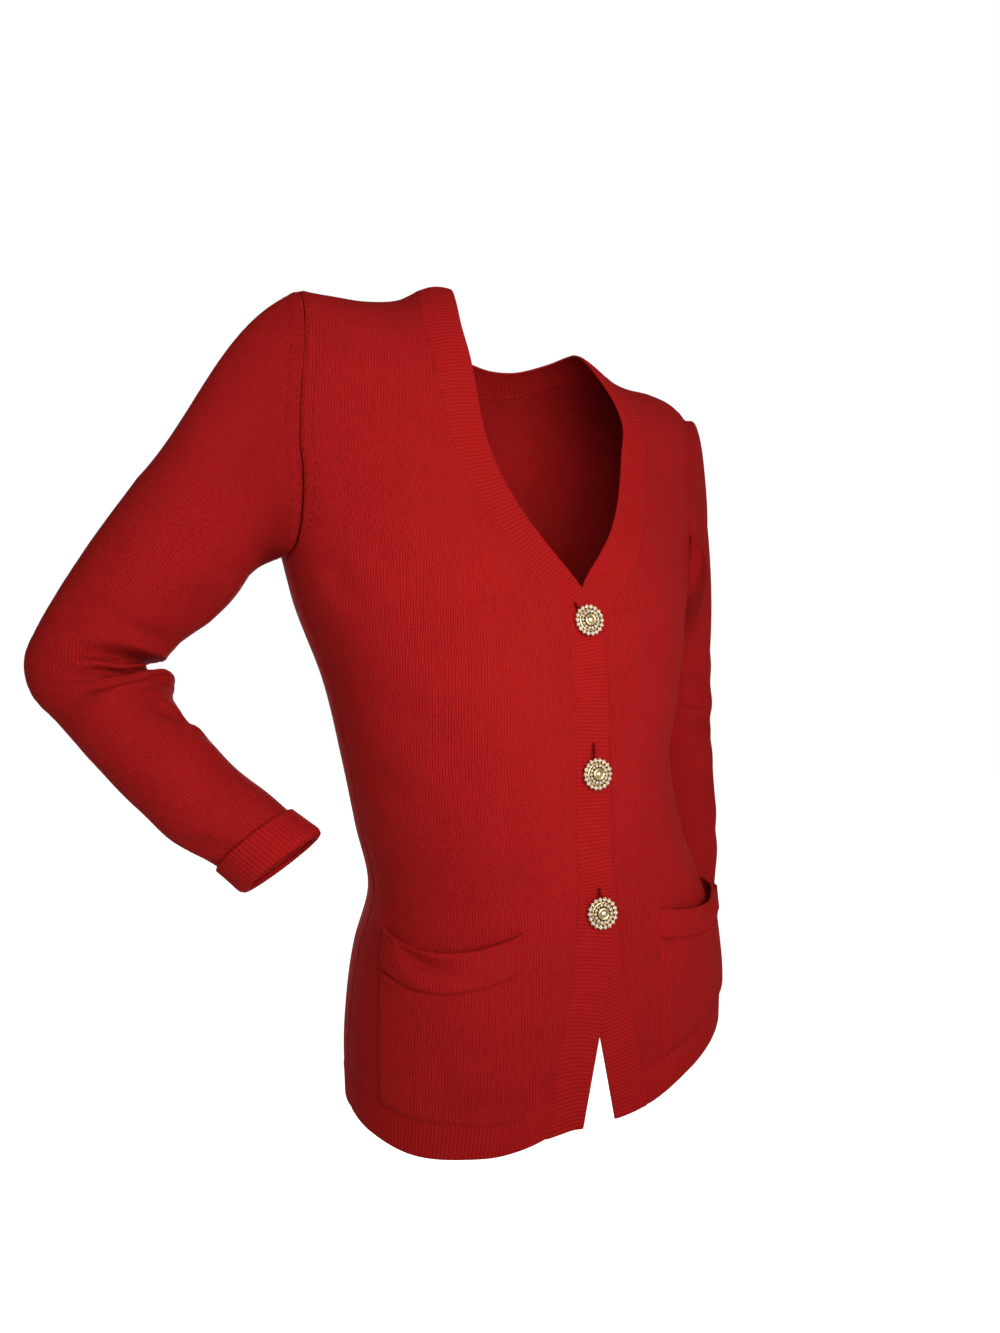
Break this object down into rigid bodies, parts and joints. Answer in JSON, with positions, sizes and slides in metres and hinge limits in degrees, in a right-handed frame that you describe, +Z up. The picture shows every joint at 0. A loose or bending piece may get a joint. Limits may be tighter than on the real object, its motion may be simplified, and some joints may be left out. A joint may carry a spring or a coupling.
{
  "type": "button cardigan",
  "caption": "Fitted V-neck knitted cardigan with round jewelled buttons, patch pockets and turned cuffs, in its worn hollow form.",
  "frame": {"origin": "midway between the two neck points, in the neck opening, where shoulders carry the garment", "axes": "+Z up, +X towards the wearer's left, -Y towards the wearer's front"},
  "size_m": [0.6406, 0.2311, 0.6507],
  "materials": {
    "red_knit": "fine stocking-stitch knit, matt and slightly fluffy",
    "red_rib": "fine rib knit, matt",
    "gilt_metal": "polished gilt with clear stones"
  },
  "bodies": {
    "root": {"front_right": "red_knit", "front_left": "red_knit", "back": "red_knit", "hem_front_right": "red_knit", "hem_front_left": "red_knit", "hem_back": "red_knit", "band_right": "red_rib", "band_left": "red_rib", "sleeve_right": "red_knit", "sleeve_left": "red_knit", "cuff_right": "red_rib", "cuff_left": "red_rib", "pocket_right": "red_knit", "pocket_left": "red_knit", "button_1": "gilt_metal", "button_2": "gilt_metal", "button_3": "gilt_metal"}
  },
  "joints": []
}
